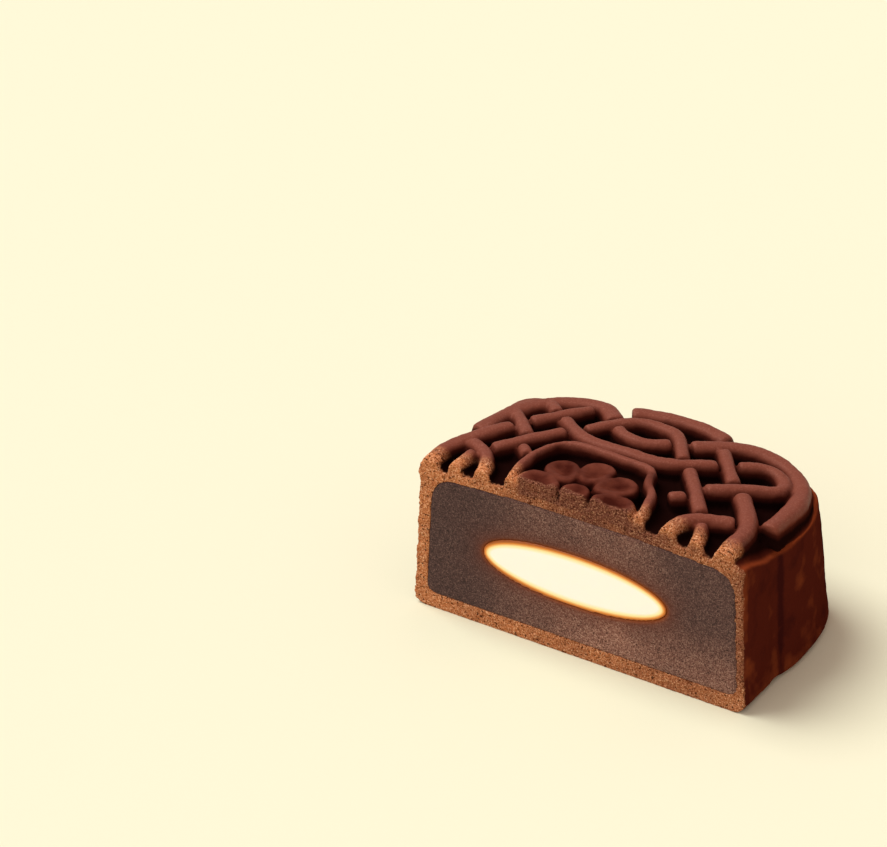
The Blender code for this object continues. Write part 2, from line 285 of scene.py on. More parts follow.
@dataclass(frozen=True)
class CakeForm:
    """Outline and heights of the cake, which every piece follows."""

    cut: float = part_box(Node.CRUST.value)[0].y
    middle: float = 0.77
    width: float = 61.2
    depth: float = 37.0
    squareness: float = 5.4
    top_squareness: float = 4.2
    wall_top: float = 25.6
    sag: float = 2.7
    sag_reach: float = 11.0
    ledge_rise: float = 0.6
    base_rounding: float = 1.8
    draft: float = 1.5
    middle_lobe_inset: float = 0.6
    notch_depth: float = 0.9
    notch_reach: float = 4.5
    side_notch: float = 11.8
    back_notch: float = 9.6
    lean: float = -0.3
    skew: float = 0.06
    floor_top: float = 27.6
    floor_drop: float = 2.6
    strand_top: float = 30.6
    strand_drop: float = 2.3
    dome_radius: float = 30.0
    relief_x: float = -1.1
    lobe_steps: tuple[int, int, int] = (15, 34, 15)

    def place(self, x: float, y: float, z: float) -> Vector:
        """Turns a point in millimetres from the cut face into the frame's metres."""
        return Vector(((x - self.middle) * MM, self.cut + y * MM, z * MM))

    def spots(self, piece: bpy.types.Object) -> Spots:
        """Finds where on the cake a piece's points lie.

        Args:
            piece: the piece.

        Returns:
            The points' places.
        """
        points = read_points(piece, "co")
        x, y = points[:, 0] / MM + self.middle, (points[:, 1] - self.cut) / MM
        return Spots(points, x, y, points[:, 2] / MM)

    def floor(self, x: Value, y: Value) -> Value:
        """Height of the relief's floor."""
        return self.floor_top - self.floor_drop * ((x - self.relief_x) ** 2 + y**2) / self.dome_radius**2

    def crown(self, x: Value, y: Value) -> Value:
        """Height of the strands' tops."""
        return self.strand_top - self.strand_drop * ((x - self.relief_x) ** 2 + y**2) / self.dome_radius**2

    def settle(self, x: float, y: float, z: float) -> Place:
        """Leans a point of the wall over, and lowers it where the wall sags behind the cut.

        Args:
            x: its place along the cut.
            y: its depth behind the cut.
            z: its height.

        Returns:
            Its place after that.
        """
        share = min(abs(y) / self.sag_reach, 1.0)
        sag = self.sag * share * share * (3.0 - 2.0 * share) * min(z / self.wall_top, 1.0)
        return x + self.lean * z / self.wall_top + self.skew * y, y, z - sag

    def other_share(self, share: float) -> float:
        """The second coordinate of a unit rounded square whose first one is given."""
        return (1.0 - share**self.squareness) ** (1.0 / self.squareness)

    def angles(self) -> list[float]:
        """Directions of the outline's points, with one exactly at each groove.

        Returns:
            Angles round the whole cake, in radians.
        """
        side_share = self.side_notch / self.depth
        back_share = self.back_notch / (self.width / 2)
        side = math.atan2(side_share, self.other_share(side_share))
        back = math.atan2(self.other_share(back_share), back_share)
        grooves = [-side, side, back, math.pi - back, math.pi - side]
        grooves += [angle + math.pi for angle in grooves[1:]]
        side_steps, corner_steps, back_steps = self.lobe_steps
        counts = [side_steps, corner_steps, back_steps, corner_steps] * 2
        angles = []
        for start, end, count in zip(grooves, grooves[1:], counts):
            angles += [start + (end - start) * step / count for step in range(count)]
        return angles

    def outline(self, inset: float, z: float, lobes: bool = True) -> list[Place]:
        """Ring of points at one height.

        Args:
            inset: how far inside the base's outline the ring lies.
            z: its height.
            lobes: whether the grooves between the lobes show in it.

        Returns:
            The ring's points round the whole cake.
        """
        top_share = min(z / self.wall_top, 1.0)
        squareness = self.squareness + (self.top_squareness - self.squareness) * top_share
        ring = []
        for angle in self.angles():
            cosine, sine = abs(math.cos(angle)), abs(math.sin(angle))
            reach = (cosine**self.squareness + sine**self.squareness) ** (-1 / self.squareness)
            beside = cosine > sine
            along = reach * (sine * self.depth if beside else cosine * self.width / 2)
            groove = self.side_notch if beside else self.back_notch
            dip = inset
            if lobes:
                near = max(0.0, 1.0 - abs(along - groove) / self.notch_reach)
                dip += self.notch_depth * near**2
                dip += self.middle_lobe_inset if along < groove else 0.0
            reach = (cosine**squareness + sine**squareness) ** (-1 / squareness)
            x, y = reach * math.cos(angle) * self.width / 2, reach * math.sin(angle) * self.depth
            length = math.hypot(x, y)
            shrink = (length - dip) / length
            ring.append(self.settle(x * shrink, y * shrink, z))
        return ring

    def wallward(self, at: Spots) -> np.ndarray:
        """How far outside the ledge's outline each point lies.

        Args:
            at: the points.

        Returns:
            Distances in millimetres, negative within the outline.
        """
        half = self.width / 2 - self.draft - self.ledge_rise
        deep = self.depth - self.draft - self.ledge_rise
        across, back = np.abs(at.x - self.lean - self.skew * at.y), np.abs(at.y)
        power = self.top_squareness
        reach = ((across / half) ** power + (back / deep) ** power) ** (1 / power)
        return (reach - 1.0) * np.hypot(across, back)

    def over_ledge(self, at: Spots) -> np.ndarray:
        """How far above the ledge each point lies, where the ledge sags behind the cut."""
        return at.z - (self.wall_top - self.sag * smoothstep(0.0, self.sag_reach, np.abs(at.y)))

    def ring(self, points: Iterable[Place]) -> Ring:
        """Turns a ring in millimetres into metres."""
        return [self.place(*point) for point in points]


def rounded_edge(radius: float, steps: int) -> list[Point]:
    """Steps up a rounded bottom edge: (how far in from the wall, how far up from the bottom)."""
    turns = [step / steps * math.pi / 2 for step in range(steps + 1)]
    return [(radius * (1 - math.sin(turn)), radius * (1 - math.cos(turn))) for turn in turns]


class Lay(Enum):
    """How a strand's plan points are used."""

    PAIR = "right strand, with a twin across the relief's middle line"
    ACROSS = "right half, from the outside to the middle line, of a strand that crosses over"
    SINGLE = "the whole strand"


@dataclass(frozen=True)
class Strand:
    """A moulded bar of the knotwork: its width and the plan points it runs through."""

    name: str
    width: float
    points: tuple[Point, ...]
    lay: Lay


@dataclass(frozen=True)
class Route:
    """Where a strand runs: its name, its width and its plan path as an array of points."""

    name: str
    width: float
    path: np.ndarray


KNOTWORK = (
    Strand(
        "side_rim_right",
        3.2,
        ((25.8, -4.0), (25.9, 1.0), (26.6, 6.4), (24.8, 11.0), (21.0, 16.2)),
        Lay.SINGLE,
    ),
    Strand(
        "side_rim_left",
        3.2,
        ((-26.3, -4.0), (-26.0, 1.0), (-25.0, 5.8), (-22.8, 10.0), (-20.0, 15.2)),
        Lay.SINGLE,
    ),
    Strand("side_loop", 2.6, ((16.2, -4.0), (16.3, 1.6), (18.0, 4.6), (21.0, 6.6), (24.2, 8.2)), Lay.PAIR),
    Strand("side_leaf", 2.3, ((21.6, -4.0), (21.4, 0.6), (20.0, 5.0)), Lay.PAIR),
    Strand("near_bar", 2.7, ((18.9, 6.3), (11.3, 17.4)), Lay.PAIR),
    Strand("far_bar", 2.7, ((18.6, 17.8), (11.5, 28.4)), Lay.PAIR),
    Strand(
        "corner_hook",
        2.7,
        ((15.8, 13.5), (21.4, 19.2), (24.3, 21.6), (23.5, 25.2), (19.8, 27.2), (16.8, 24.4)),
        Lay.PAIR,
    ),
    Strand("corner_stub", 2.4, ((12.6, 7.8), (14.7, 9.8)), Lay.PAIR),
    Strand("octagon", 2.7, ((14.0, 22.1), (8.6, 17.5), (5.2, 16.3), (0.0, 16.2)), Lay.ACROSS),
    Strand("back_loop", 2.6, ((9.0, 19.6), (6.8, 23.4), (4.0, 27.6), (0.0, 28.4)), Lay.ACROSS),
    Strand("back_leaf", 2.5, ((4.9, 23.4), (2.4, 21.4), (0.0, 20.9)), Lay.ACROSS),
    Strand(
        "plaque_frame",
        1.7,
        (
            (11.9, -4.0),
            (10.9, 6.6),
            (8.3, 8.6),
            (7.3, 12.8),
            (5.6, 13.6),
            (0.0, 13.7),
            (-6.6, 14.2),
            (-9.4, 12.8),
            (-10.6, 10.2),
            (-11.4, 6.4),
            (-11.2, -4.0),
        ),
        Lay.SINGLE,
    ),
    Strand(
        "corner_rim_right",
        3.4,
        ((28.5, 10.2), (28.9, 19.2), (27.2, 26.0), (21.6, 30.9), (14.4, 31.4), (8.0, 25.4)),
        Lay.SINGLE,
    ),
    Strand(
        "corner_rim_left",
        3.6,
        ((-24.0, 10.4), (-23.6, 17.5), (-21.5, 24.9), (-16.4, 29.7), (-10.4, 30.5), (-6.4, 25.8)),
        Lay.SINGLE,
    ),
    Strand("back_rim", 3.6, ((-6.0, 30.5), (-3.0, 32.2), (2.6, 33.0), (7.0, 32.8), (10.8, 31.1)), Lay.SINGLE),
)


@dataclass
class Knotwork:
    """The raised strands on top of the cake, woven over and under each other."""

    form: CakeForm
    strands: tuple[Strand, ...] = KNOTWORK
    root: float = 0.8
    spacing: float = 0.7
    section_points: int = 17
    section_squareness: float = 3.3
    outer: float = 16.0
    lean_per_depth: float = 0.08
    lean_depth: float = 22.0
    gap: float = 0.34
    search_back: float = 1.5
    search_ahead: float = 1.2
    search_step: float = 0.05
    heading_steps: int = 4
    splay: float = 0.22
    flare: float = 0.1
    flare_depth: float = 2.8
    tear: float = 1.1
    tear_depth: float = 3.4
    wobble: float = 0.1
    wobble_length: float = 5.0
    end_sections: tuple[Point, ...] = ((0.0, 0.76), (0.1, 0.9), (0.28, 0.97), (0.7, 1.0))
    end_drop: float = 0.6

    def edge_lean(self, x: float, y: float) -> float:
        """Extra sideways shift of the outer strands, which lean with the wall behind them."""
        share = max(0.0, (abs(x) - self.outer) / (self.form.width / 2 - self.outer))
        return share * self.lean_per_depth * min(max(y, 0.0), self.lean_depth)

    def mirror(self, points: Iterable[Point], side: int) -> list[Point]:
        """Plan points on one side of the relief's middle line."""
        return [(self.form.relief_x + side * x + self.edge_lean(x, y), y) for x, y in points]

    def routes(self) -> list[Route]:
        """The smooth plan path of each strand, left and right.

        Returns:
            One route for each strand, at its full length.
        """
        routes = []
        for strand in self.strands:
            if strand.lay is Lay.PAIR:
                for side, label in ((1, "right"), (-1, "left")):
                    path = self.smooth(self.mirror(strand.points, side), 3)
                    routes.append(Route(f"{strand.name}_{label}", strand.width, path))
            elif strand.lay is Lay.ACROSS:
                right = self.mirror(strand.points, 1)
                left = self.mirror(strand.points[:-1], -1)
                routes.append(Route(strand.name, strand.width, self.smooth(left + right[::-1], 2)))
            else:
                path = [(self.form.relief_x + x, y) for x, y in strand.points]
                routes.append(Route(strand.name, strand.width, self.smooth(path, 3)))
        return routes

    def smooth(self, points: list[Point], cuts: int) -> np.ndarray:
        """Rounds a path by cutting its corners again and again.

        Args:
            points: the path's corners.
            cuts: how many times the corners are cut.

        Returns:
            The path, in steps as fine as the search for crossings.
        """
        for _ in range(cuts):
            rounded = [points[0]]
            for (ax, ay), (bx, by) in zip(points, points[1:]):
                rounded.append((ax * 0.75 + bx * 0.25, ay * 0.75 + by * 0.25))
                rounded.append((ax * 0.25 + bx * 0.75, ay * 0.25 + by * 0.75))
            rounded.append(points[-1])
            points = rounded
        return self.resample(np.array(points), self.search_step)

    @staticmethod
    def resample(path: np.ndarray, spacing: float) -> np.ndarray:
        """Spreads a path's points evenly.

        Args:
            path: the path.
            spacing: the distance that they should be apart.

        Returns:
            The same path with other points.
        """
        travelled = np.concatenate([[0.0], np.cumsum(np.hypot(*np.diff(path, axis=0).T))])
        count = max(3, round(travelled[-1] / spacing) + 1)
        marks = np.linspace(0.0, travelled[-1], count)
        return np.stack([np.interp(marks, travelled, path[:, axis]) for axis in (0, 1)], axis=1)

    def fit_end(self, path: np.ndarray, others: Sequence[Route]) -> np.ndarray:
        """Moves a path's last point to where the strand that lies over it leaves a thin gap.

        Args:
            path: plan path whose end may dive under another strand.
            others: the strands it may meet, at their full length.

        Returns:
            The path, shorter or longer at its end, or unchanged if nothing lies ahead of it.
        """
        heading = path[-1] - path[-1 - self.heading_steps]
        heading /= np.linalg.norm(heading)
        back, ahead = round(self.search_back / self.search_step), round(self.search_ahead / self.search_step)
        further = [path[-1] + heading * self.search_step * step for step in range(1, 1 + ahead)]
        walk = np.concatenate([path[-back:], further])
        for number, spot in enumerate(walk):
            for other in others:
                clear = np.linalg.norm(other.path - spot, axis=1).min()
                if clear < other.width / 2 + self.gap:
                    return np.concatenate([path[:-back], walk[: max(number, 1)]])
        return path

    def woven(self) -> list[Route]:
        """All strands, each ending just short of the one that lies over its end.

        Returns:
            One route for each strand, at its final length.
        """
        routes = self.routes()
        woven = []
        for route in routes:
            others = [other for other in routes if other is not route]
            path = self.fit_end(route.path, others)
            if path[0][1] > 0.0:
                path = self.fit_end(path[::-1], others)[::-1]
            woven.append(Route(route.name, route.width, path))
        return woven

    def sections(self, path: np.ndarray) -> Sections:
        """Spaces a strand's sections, closer together at its ends.

        Args:
            path: the strand's plan path.

        Returns:
            Centre, direction and size of each section.
        """
        path = self.resample(path, self.spacing)
        along = np.gradient(path, axis=0)
        along /= np.linalg.norm(along, axis=1)[:, None]
        start = [(path[0] + along[0] * step, along[0], size) for step, size in self.end_sections]
        end = [(path[-1] - along[-1] * step, along[-1], size) for step, size in self.end_sections]
        margin = self.end_sections[-1][0] + self.spacing / 4
        middle = []
        for centre, direction in zip(path, along):
            clear = min(np.linalg.norm(centre - path[0]), np.linalg.norm(centre - path[-1]))
            if clear > margin:
                middle.append((centre, direction, 1.0))
        return start + middle + end[::-1]

    def bar(self, route: Route) -> bpy.types.Object:
        """Models one strand, with a rounded top and steep sides.

        Args:
            route: where it runs.

        Returns:
            The closed bar, torn down and cut off at the cut face if it reaches it.
        """
        form = self.form
        reaches_cut = route.path[:, 1].min() < 0.0
        rings = []
        for centre, direction, size in self.sections(route.path):
            across = np.array((-direction[1], direction[0]))
            near_cut = max(0.0, 1.0 - max(centre[1], 0.0) / self.flare_depth) if reaches_cut else 0.0
            torn = max(0.0, 1.0 - max(centre[1], 0.0) / self.tear_depth) if reaches_cut else 0.0
            spot = Vector((*centre, 0.0)) / self.wobble_length
            width = route.width * (1.0 + self.wobble * noise.noise(spot))
            power = 2.0 / self.section_squareness
            ring = []
            for step in range(self.section_points):
                turn = math.pi * step / (self.section_points - 1)
                side = math.copysign(abs(math.cos(turn)) ** power, math.cos(turn)) / 2
                rise = math.sin(turn) ** power
                broad = 1.0 + (self.splay + self.flare * near_cut) * (1.0 - rise)
                x, y = centre + across * side * width * size * broad
                bottom = form.floor(x, y) - self.root
                top = form.crown(*centre) - (1.0 - size) * width * self.end_drop - self.tear * torn
                ring.append((x, y, bottom + rise * (top - bottom)))
            rings.append(form.ring(ring))
        piece = sweep(route.name, rings)
        if reaches_cut:
            slice_off(piece, form.cut)
        return piece

    def build(self) -> list[bpy.types.Object]:
        """All strands as separate closed bars."""
        return [self.bar(route) for route in self.woven()]


@dataclass
class Blossom:
    """The flower in the plaque: petals round a boss, its centre just behind the cut."""

    form: CakeForm
    y: float = 0.9
    petals: int = 8
    petal_length: float = 7.8
    petal_width: float = 5.7
    petal_start: float = 2.6
    petal_taper: float = 0.25
    boss_radius: float = 2.5
    sink: float = 0.5
    root: float = 0.8
    points: int = 28
    levels: tuple[Point, ...] = (
        (1.0, 0.0),
        (0.985, 0.5),
        (0.95, 0.82),
        (0.9, 0.95),
        (0.8, 1.0),
        (0.68, 0.985),
        (0.5, 0.94),
        (0.25, 0.9),
        (0.05, 0.89),
    )

    def mound(self, name: str, outline: Callable[[float, float], Point]) -> bpy.types.Object:
        """A raised form with a rounded rim.

        Args:
            name: its name.
            outline: gives the plan point for a share of the size and an angle.

        Returns:
            The closed mound, cut off at the cut face if it reaches it.
        """
        form = self.form
        rings = []
        for size, rise in self.levels:
            ring = []
            for step in range(self.points):
                x, y = outline(size, math.tau * step / self.points)
                bottom = form.floor(x, y) - self.root
                top = form.crown(x, y) - self.sink
                ring.append((x, y, bottom + rise * (top - bottom)))
            rings.append(form.ring(ring))
        piece = sweep(name, rings)
        if min(point.y for point in rings[0]) < form.cut:
            slice_off(piece, form.cut)
        return piece

    def boss(self, size: float, turn: float) -> Point:
        """Plan point of the boss, for a share of its size and an angle."""
        reach = self.boss_radius * size
        return self.form.relief_x + reach * math.cos(turn), self.y + reach * math.sin(turn)

    def petal(self, angle: float, size: float, turn: float) -> Point:
        """Plan point of a petal, which is wider towards its tip.

        Args:
            angle: the petal's direction, in radians.
            size: share of its size.
            turn: the point's direction from the petal's middle, in radians.

        Returns:
            The point, in millimetres.
        """
        out = self.petal_start + self.petal_length * (0.5 + 0.5 * size * math.cos(turn))
        wide = 0.5 * self.petal_width * size * math.sin(turn)
        wide *= 1.0 + self.petal_taper * math.cos(turn)
        x = out * math.cos(angle) - wide * math.sin(angle)
        y = out * math.sin(angle) + wide * math.cos(angle)
        return self.form.relief_x + x, self.y + y

    def build(self) -> list[bpy.types.Object]:
        """Models the boss and the petals that lie behind the cut.

        Returns:
            Closed bodies, one for the boss and one for each petal.
        """
        pieces = [self.mound("boss", self.boss)]
        for number in range(self.petals // 2 + 1):
            angle = math.tau * number / self.petals
            pieces.append(self.mound(f"petal_{number}", partial(self.petal, angle)))
        return pieces


@dataclass
class FillingForm:
    """Outer form of the filling, and of the hollow that holds it."""

    form: CakeForm
    side_crust: float = 2.65
    back_crust: float = 3.0
    draft: float = 1.0
    base_crust: float = 2.9
    top: float = 25.5
    drop: float = 1.4
    shift: float = 0.5
    edge: float = 1.5
    edge_steps: int = 5
    shoulder: float = 20.6
    crown: tuple[Point, ...] = (
        (0.993, 0.25),
        (0.98, 0.5),
        (0.955, 0.75),
        (0.92, 0.92),
        (0.88, 1.0),
        (0.7, 1.0),
        (0.45, 1.0),
        (0.2, 1.0),
        (0.04, 1.0),
    )

    def ring(self, inset: float, z: float) -> list[Place]:
        """Outline at one height: smooth, and moved towards the thin side of the crust.

        Args:
            inset: how far inside the cake's outline it lies at the sides.
            z: its height.

        Returns:
            The ring's points.
        """
        form = self.form
        depth_share = (form.depth - inset - self.back_crust + self.side_crust) / (form.depth - inset)
        return [(x + self.shift, y * depth_share, z) for x, y, z in form.outline(inset, z, lobes=False)]

    def build(self, name: str, grow: float) -> bpy.types.Object:
        """Models the filling's body over the whole cake.

        Args:
            name: its name.
            grow: how much larger it is all round, in millimetres.

        Returns:
            The closed body.
        """
        form = self.form
        side, bottom = self.side_crust - grow, self.base_crust - grow
        edge = rounded_edge(self.edge, self.edge_steps)
        rings = [self.ring(side + inset, bottom + rise) for inset, rise in edge]
        shoulder = self.ring(side + self.draft, self.shoulder)
        rings.append(shoulder)
        for share, rise in self.crown:
            ring = []
            for x, y, z in shoulder:
                x, y = x * share, y * share
                fall = self.drop * ((x - form.relief_x) ** 2 + y**2) / form.dome_radius**2
                ring.append((x, y, z + (self.top + grow - fall - z) * rise))
            rings.append(ring)
        return sweep(name, [form.ring(ring) for ring in rings])


@dataclass
class CustardForm:
    """Form of the custard core, a flattened ball that is blunter on the left than on the right."""

    form: CakeForm
    half_width: float = 16.4
    depth: float = 15.5
    height: float = 9.4
    x: float = -0.5
    z: float = 14.1
    steepest: float = 86.0
    bluntness: float = 0.8
    rings: int = 25
    points: int = 96

    def build(self, name: str, grow: float) -> bpy.types.Object:
        """Models the core's body over the whole cake.

        Args:
            name: its name.
            grow: how much larger it is all round, in millimetres.

        Returns:
            The closed body.
        """
        rings = []
        for level in range(self.rings):
            tilt = math.radians(self.steepest) * (2 * level / (self.rings - 1) - 1)
            ring = []
            for step in range(self.points):
                turn = math.tau * (step + 0.5) / self.points
                side = math.cos(tilt) ** (self.bluntness if math.cos(turn) < 0 else 1.0)
                x = self.x + (self.half_width + grow) * side * math.cos(turn)
                y = (self.depth + grow) * side * math.sin(turn)
                ring.append((x, y, self.z + (self.height / 2 + grow) * math.sin(tilt)))
            rings.append(self.form.ring(ring))
        return sweep(name, rings)

    def distance(self, at: Spots) -> np.ndarray:
        """Roughly how far each point lies from the core's outline in the cut.

        Args:
            at: the points.

        Returns:
            Distances in millimetres, negative inside the outline.
        """
        across = (at.x - self.x) / self.half_width
        up = (at.z - self.z) / (self.height / 2)
        reach = np.hypot(across, up) + NO_ZERO
        slope = np.hypot(across / self.half_width, up / (self.height / 2)) / reach
        return (reach - 1.0) / np.maximum(slope, NO_ZERO)


# ---------------------------------------------------------------------------------------------
# Finishes
# ---------------------------------------------------------------------------------------------


def linear(colour: str) -> Colour:
    """Turns an sRGB hex colour into linear RGBA.

    Args:
        colour: the colour, such as #FFEEDD.

    Returns:
        Red, green, blue and an alpha of 1.
    """
    channels = []
    for start in (1, 3, 5):
        value = int(colour[start : start + 2], 16) / 255
        channels.append(value / 12.92 if value <= 0.04045 else ((value + 0.055) / 1.055) ** 2.4)
    return (*channels, 1.0)


def add_node(
    material: bpy.types.Material,
    kind: str,
    inputs: dict[str | int, object] | None = None,
    stops: Band = (),
    out: str | int = 0,
    **settings: object,
) -> bpy.types.NodeSocket:
    """Adds a node with its settings and links.

    Args:
        material: the material it goes into.
        kind: the node's type, without the word ShaderNode.
        inputs: for each input, a value or the output socket that feeds it.
        stops: its colour band, if it has one.
        out: the output that others will read.
        settings: properties of the node itself.

    Returns:
        The output socket.
    """
    tree = material.node_tree
    node = tree.nodes.new(f"ShaderNode{kind}")
    for key, value in settings.items():
        setattr(node, key, value)
    for key, value in (inputs or {}).items():
        if isinstance(value, bpy.types.NodeSocket):
            tree.links.new(value, node.inputs[key])
        else:
            node.inputs[key].default_value = value
    for number, (position, colour) in enumerate(stops):
        if number >= len(node.color_ramp.elements):
            node.color_ramp.elements.new(position)
        node.color_ramp.elements[number].position = position
        node.color_ramp.elements[number].color = linear(colour)
    return node.outputs[out]


def new_material(name: str) -> tuple[bpy.types.Material, bpy.types.Node]:
    """Starts a material.

    Args:
        name: its name.

    Returns:
        The material and the Principled shader in it.
    """
    material = bpy.data.materials.new(name)
    material.use_nodes = True
    return material, material.node_tree.nodes["Principled BSDF"]


@dataclass(frozen=True)
class BakedCocoaDough:
    """Moulded and baked cocoa dough.

    The strands are smooth and dull; their dark red flanks and nearly black recesses are painted shade,
    and their tops carry cocoa dust lightened as a painted highlight. The egg wash makes the side walls
    darker; their glossy look is painted: warm patches as painted sheen, a painted highlight near the cut
    and on the ledge's edge, painted shade in the grooves and painted bounce light at the foot. The cut
    shows a sandy crumb with painted shade in its pores.
    """

    name: str = "baked_cocoa_dough"
    # Painted shade: the band runs from near black in the recesses through dark red flanks to the brown of the
    # strands' tops.
    strand: Band = ((0.44, "#180806"), (0.72, "#3C1710"), (0.94, "#713B2C"))
    shade_by_height: float = 0.76
    strand_blotch: float = 0.45
    # Cocoa dust on the strands' tops; its lighter colour there is partly a painted highlight.
    dust_and_highlight: str = "#96604F"
    bloom_from: Span = (0.5, 0.75)
    highlight_crest: float = 0.84
    highlight_most: float = 0.6
    # Wall band: darkest as painted shade in the grooves, then the dark egg-washed brown, warmest as painted
    # sheen and painted light.
    wall: Band = ((0.28, "#351210"), (0.48, "#4A1B12"), (0.57, "#4A1B12"), (0.89, "#823E20"))
    wall_mottle_and_painted_light: float = 0.24
    # Painted highlight along the ledge's rounded edge.
    ledge: str = "#843C20"
    crumb: Band = ((0.38, "#6A3418"), (0.46, "#C27B4E"), (0.54, "#C27B4E"), (0.62, "#F0BE92"))
    darker_crumb: Band = ((0.38, "#34190F"), (0.47, "#744636"), (0.55, "#744636"), (0.63, "#B98A68"))
    # Painted shade in the crumb's pores.
    painted_pore_shade: str = "#3A1B0D"
    pore_from: Span = (0.61, 0.67)
    pore_most: float = 0.85
    blotches: Pattern = (5.0, 4.0, 0.6)
    # Warm patches on the wall: painted sheen.
    glow: Pattern = (7.0, 3.0, 0.55)
    pores: Pattern = (0.45, 1.0, 0.5)
    # Cocoa dust and flour crumbs are finer than this: both are drawn coarse enough to show.
    speckles: Pattern = (0.3, 3.0, 0.7)
    grains: Pattern = (0.26, 4.0, 0.75)
    strand_roughness: float = 0.55
    wall_roughness: float = 0.4
    crumb_roughness: float = 0.85
    bump: float = 0.7
    skin_bump: float = 0.05
    crumb_bump: float = 0.4
    # The recesses hold no gloss, or they would mirror the pale table top.
    gloss_from: float = 0.75
    gloss: float = 0.2
    sheen: Colour = (1.0, 0.62, 0.5, 1.0)

    def build(self) -> bpy.types.Material:
        """Makes the material.

        Returns:
            The material, which reads the crust's marks.
        """
        material, shader = new_material(self.name)
        node = partial(add_node, material)
        spot = node("TexCoord", out="Object")
        relief, wall, ledge, crumb, toast = (
            node("Attribute", out="Fac", attribute_name=key.value)
            for key in (Mark.RELIEF, Mark.WALL, Mark.LEDGE_HIGHLIGHT, Mark.CRUMB, Mark.TONE)
        )
        blotches, glow, pores, speckles, grains = (
            node("TexNoise", {"Vector": spot, "Scale": 1 / (size * MM), "Detail": detail, "Roughness": rough})
            for size, detail, rough in (self.blotches, self.glow, self.pores, self.speckles, self.grains)
        )
        # Painted shade: the lower a point lies in the relief, the darker its colour; the blotches add random
        # tone.
        height = node("Math", {0: relief, 1: self.shade_by_height}, operation="MULTIPLY")
        blotches_and_painted_shade = node("Math", {0: blotches, 1: self.strand_blotch, 2: height}, operation="MULTIPLY_ADD")
        skin = node("ValToRGB", {"Fac": blotches_and_painted_shade}, self.strand)
        # Speckled dust, only on the crests: partly real cocoa dust, partly painted highlight.
        low, high = self.bloom_from
        dust = node("MapRange", {"Value": speckles, "From Min": low, "From Max": high})
        crest = node("MapRange", {"Value": relief, "From Min": self.highlight_crest, "To Max": self.highlight_most})
        dust_and_highlight = node("Math", {0: dust, 1: crest}, operation="MULTIPLY")
        # Wall colour: random mottle with painted bounce light, a painted highlight, painted shade in the
        # grooves and patches of painted sheen.
        warmth = node("Math", {0: toast, 1: self.wall_mottle_and_painted_light, 2: glow}, operation="MULTIPLY_ADD")
        wall_and_painted_light = node("ValToRGB", {"Fac": warmth}, self.wall)
        # Where the crumb gets painted shade for its pores.
        low, high = self.pore_from
        limits = {"From Min": low, "From Max": high, "To Max": self.pore_most}
        pore_shade_share = node("MapRange", {"Value": pores, **limits})
        crumbs = [node("ValToRGB", {"Fac": grains}, band) for band in (self.crumb, self.darker_crumb)]
        mix = partial(node, "Mix", out=2, data_type="RGBA")
        skin = mix({"Factor": dust_and_highlight, 6: skin, 7: linear(self.dust_and_highlight)})
        wall_and_painted_light = mix({"Factor": ledge, 6: wall_and_painted_light, 7: linear(self.ledge)})
        skin = mix({"Factor": wall, 6: skin, 7: wall_and_painted_light})
        inside = mix({"Factor": toast, 6: crumbs[0], 7: crumbs[1]})
        inside = mix({"Factor": pore_shade_share, 6: inside, 7: linear(self.painted_pore_shade)})
        colour = mix({"Factor": crumb, 6: skin, 7: inside})
        mix = partial(node, "Mix", data_type="FLOAT")
        limits = {"To Min": self.strand_roughness, "To Max": self.wall_roughness}
        rough = node("MapRange", {"Value": wall, **limits})
        rough = mix({0: crumb, 2: rough, 3: self.crumb_roughness})
        lumps = mix({0: crumb, 2: speckles, 3: grains})
        limits = {"To Min": self.skin_bump * MM, "To Max": self.crumb_bump * MM}
        depth = node("MapRange", {"Value": crumb, **limits})
        bump = node("Bump", {"Strength": self.bump, "Distance": depth, "Height": lumps})
        limits = {"From Min": self.gloss_from, "To Min": 0.0, "To Max": self.gloss}
        gloss = node("MapRange", {"Value": relief, **limits})
        fields = {"Base Color": colour, "Roughness": rough, "Normal": bump, "Specular IOR Level": gloss}
        for key, value in fields.items():
            material.node_tree.links.new(value, shader.inputs[key])
        shader.inputs["Specular Tint"].default_value = self.sheen
        return material


